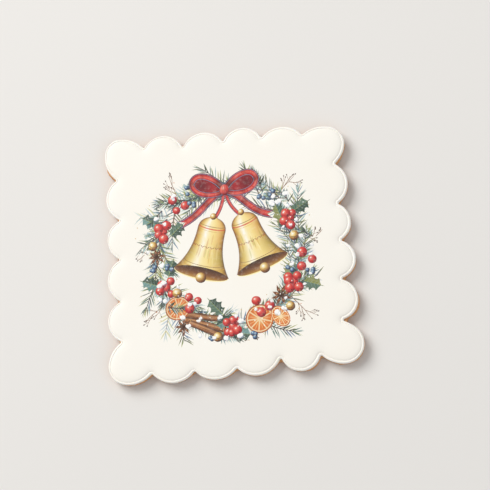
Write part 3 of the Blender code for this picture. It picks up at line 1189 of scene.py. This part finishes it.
def printSheet(piece):
    kept = shownShapes()
    loose = [(x, y) for x, y in grains if max(abs(x), abs(y)) < wreath["reach"]]
    order, covers = mapCap(piece, True, [corners for corners, paint in kept], loose)
    data = piece.data
    places = np.array([vert.co[:2] for vert in data.vertices]) / mm
    corner = readAll(data.loops, "vertex_index")
    loops = readAll(data.polygons, "loop_start")[order][:, None] + np.arange(3)
    x, y = places[corner[loops], 0], places[corner[loops], 1]

    facesOf = [[] for part in kept]
    for face, sources in enumerate(covers):
        for source in sources:
            facesOf[source].append(face)
    colours = np.empty(x.shape + (4,))
    colours[...] = (*(np.array(inks["paper"]) / 255), 0.0)
    centres = np.stack([x.mean(1), y.mean(1)], -1)
    for (corners, paint), faces in zip(kept, facesOf):
        faces = np.array(faces, dtype=int)
        faces = faces[inShape(centres[faces], corners)]
        if len(faces):
            layer = paint(x[faces], y[faces])
            share = layer[..., 3:]
            layer = np.concatenate([layer[..., :3], np.ones_like(share)], -1)
            colours[faces] = colours[faces] * (1 - share) + layer * share
    colours[..., :3] = toLinear(colours[..., :3])
    everywhere = np.empty((len(data.loops), 4))
    everywhere[:] = (*linear(*inks["paper"])[:3], 0.0)
    everywhere[loops] = colours
    everywhere[:, :3] *= sheet["whiteness"]
    printed = data.color_attributes.new("print", "FLOAT_COLOR", "CORNER")
    printed.data.foreach_set("color", everywhere.ravel().astype(np.float32))

    # the bake's own map, straight down on the sheet
    flat = data.uv_layers.new(name="OFBake")
    spread = places[corner] / sheet["mapSide"] + 0.5
    flat.data.foreach_set("uv", spread.ravel().astype(np.float32))
    print("faces of the print:", len(order), "shapes:", len(kept))


def settle(piece):  # a sugar sheet never lies quite flat
    for vert in piece.data.vertices:
        weight = steep(vert.co.z / mm, *sheet["waved"])
        if weight > 0:
            x, y = vert.co.x / mm / sheet["waveLength"], vert.co.y / mm / sheet["waveLength"]
            vert.co.z -= weight * sheet["waviness"] * mm * (0.5 + 0.5 * noise.noise((x, y, 0.3)))


def sheetFinish():
    finish = Finish("printedSugar", Specular_IOR_Level=0.3)
    colour = finish.node("ShaderNodeAttribute", {"attribute_name": "print"}, {}, "Color")
    pigment = finish.node("ShaderNodeAttribute", {"attribute_name": "print"}, {}, "Alpha")
    grain = finish.noise(0.32, 2.0, 0.6)
    flow = finish.noise(2.4, 3.0, 0.55)
    clouds = finish.noise(30.0, 2.0)
    paper = linear(*inks["paper"], sheet["whiteness"])
    cooler = linear(250, 245, 235, sheet["whiteness"])
    # paint gathers in the sheet's grain, and thins where the brush was wetter
    worn = finish.mix(finish.between(grain, 0.56, 0.72) * pigment * 0.07, colour, paper)
    pooled = finish.mix(finish.between(flow, 0.5, 0.7) * pigment * 0.1, worn, paper)
    clouded = finish.mix(finish.between(clouds, 0.35, 0.65) * (1 - pigment) * 0.5, pooled, cooler)
    finish.feed(
        Base_Color=clouded,
        Roughness=0.5 + 0.14 * grain - 0.06 * pigment,
        Normal=finish.bump(grain * 0.5 + flow * 0.4, 0.035),
    )
    return finish


sheetPiece = laySheet()
printSheet(sheetPiece)
settle(sheetPiece)
smoothed(sheetPiece, 50)
sheetFinish().cover(sheetPiece)
handIn(sheetPiece, "sugar_sheet")

print("stage: floor, light and camera")
studio = {
    "floorSide": 14.0,  # in metres, as the lights are
    "floorColours": [(226, 224, 221), (223, 221, 218)],
    "key": {"place": (-1.5, 1.5, 2.3), "side": 2.0, "power": 84.0, "colour": (1.0, 0.985, 0.96)},
    "fill": {"place": (1.6, -1.4, 2.0), "side": 3.2, "power": 16.0, "colour": (0.97, 0.98, 1.0)},
    "sky": 0.43,
    "camera": (109.0, -172.2, 831.6),  # in mm, as the aim is
    "aim": (10.7, 3.1, 7.3),
    "upright": (0.0917, 0.9762, 0.1967),  # the direction that is up in the picture
    "lens": 97.9,
}


def layFloor():
    deselectAll()
    bpy.ops.mesh.primitive_plane_add(size=studio["floorSide"], location=(0, 0, -0.0001))
    floor = bpy.context.object
    floor.name = "floor"
    finish = Finish("paleFloor", Roughness=0.85, Specular_IOR_Level=0.2)
    pale, grey = studio["floorColours"]
    finish.feed(Base_Color=finish.layered(pale, (finish.noise(400.0, 2.0), grey)))
    finish.cover(floor)


def hangLight(name):
    deselectAll()
    light = studio[name]
    bpy.ops.object.light_add(type="AREA", location=light["place"])
    lamp = bpy.context.object
    lamp.name = name + "Light"
    lamp.data.size = light["side"]
    lamp.data.energy = light["power"]
    lamp.data.color = light["colour"]
    lamp.rotation_euler = (-Vector(light["place"])).to_track_quat("-Z", "Y").to_euler()


def aimCamera():
    place, aim = Vector(studio["camera"]) * mm, Vector(studio["aim"]) * mm
    forward = (aim - place).normalized()
    right = forward.cross(Vector(studio["upright"])).normalized()
    up = right.cross(forward)
    bpy.ops.object.camera_add()
    camera = bpy.context.object
    camera.matrix_world = Matrix.Translation(place) @ Matrix((right, up, -forward)).transposed().to_4x4()
    camera.data.lens = studio["lens"]
    camera.data.sensor_width = 36.0
    camera.data.clip_start = 0.01
    bpy.context.scene.camera = camera


layFloor()
hangLight("key")
hangLight("fill")
sky = bpy.data.worlds.new("softSky")
sky.use_nodes = True
sky.node_tree.nodes["Background"].inputs["Color"].default_value = (1.0, 1.0, 1.0, 1.0)
sky.node_tree.nodes["Background"].inputs["Strength"].default_value = studio["sky"]
bpy.context.scene.world = sky
bpy.context.scene.view_settings.view_transform = "Standard"
aimCamera()
